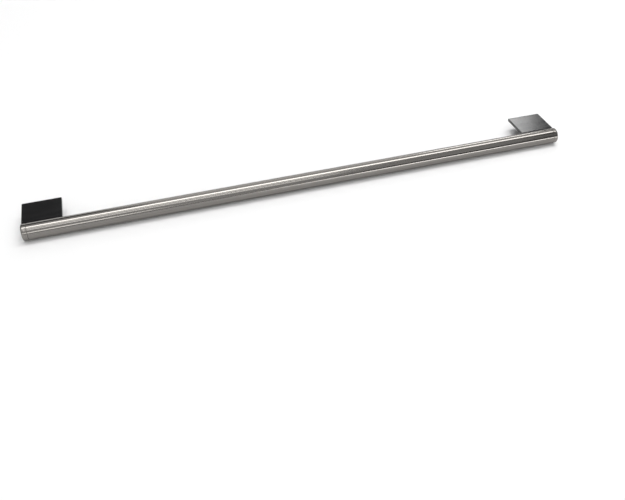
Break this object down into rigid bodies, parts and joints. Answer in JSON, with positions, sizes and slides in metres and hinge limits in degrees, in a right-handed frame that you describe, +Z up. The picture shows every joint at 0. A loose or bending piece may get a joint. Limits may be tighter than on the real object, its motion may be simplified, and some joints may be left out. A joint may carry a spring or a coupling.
{
  "type": "oven door handle",
  "caption": "Straight round stainless bar handle for an oven door, on flat black brackets that are screwed on from inside the door.",
  "frame": {"origin": "on the face of the door, midway between the door screw holes, at the height of the bar's axis", "axes": "+X along the bar, +Y into the door, +Z up as fitted on a closed upright door"},
  "size_m": [0.548, 0.0435, 0.016],
  "materials": {
    "ground_stainless": "ground round the bar, satin",
    "turned_stainless": "turned, satin",
    "black_bracket": "moulded, smooth semi-gloss",
    "screw_steel": "bright",
    "insert_brass": "turned and knurled",
    "gasket_rubber": "matt"
  },
  "bodies": {
    "root": {"bar_tube": "ground_stainless", "end_plug_left": "turned_stainless", "end_plug_right": "turned_stainless", "bracket_left": "black_bracket", "bracket_right": "black_bracket", "bracket_screw_outer_left": "screw_steel", "bracket_screw_inner_left": "screw_steel", "bracket_screw_outer_right": "screw_steel", "bracket_screw_inner_right": "screw_steel", "screw_washer_outer_left": "screw_steel", "screw_washer_inner_left": "screw_steel", "screw_washer_outer_right": "screw_steel", "screw_washer_inner_right": "screw_steel", "door_insert_left": "insert_brass", "door_insert_right": "insert_brass", "door_gasket_left": "gasket_rubber", "door_gasket_right": "gasket_rubber"}
  },
  "joints": []
}
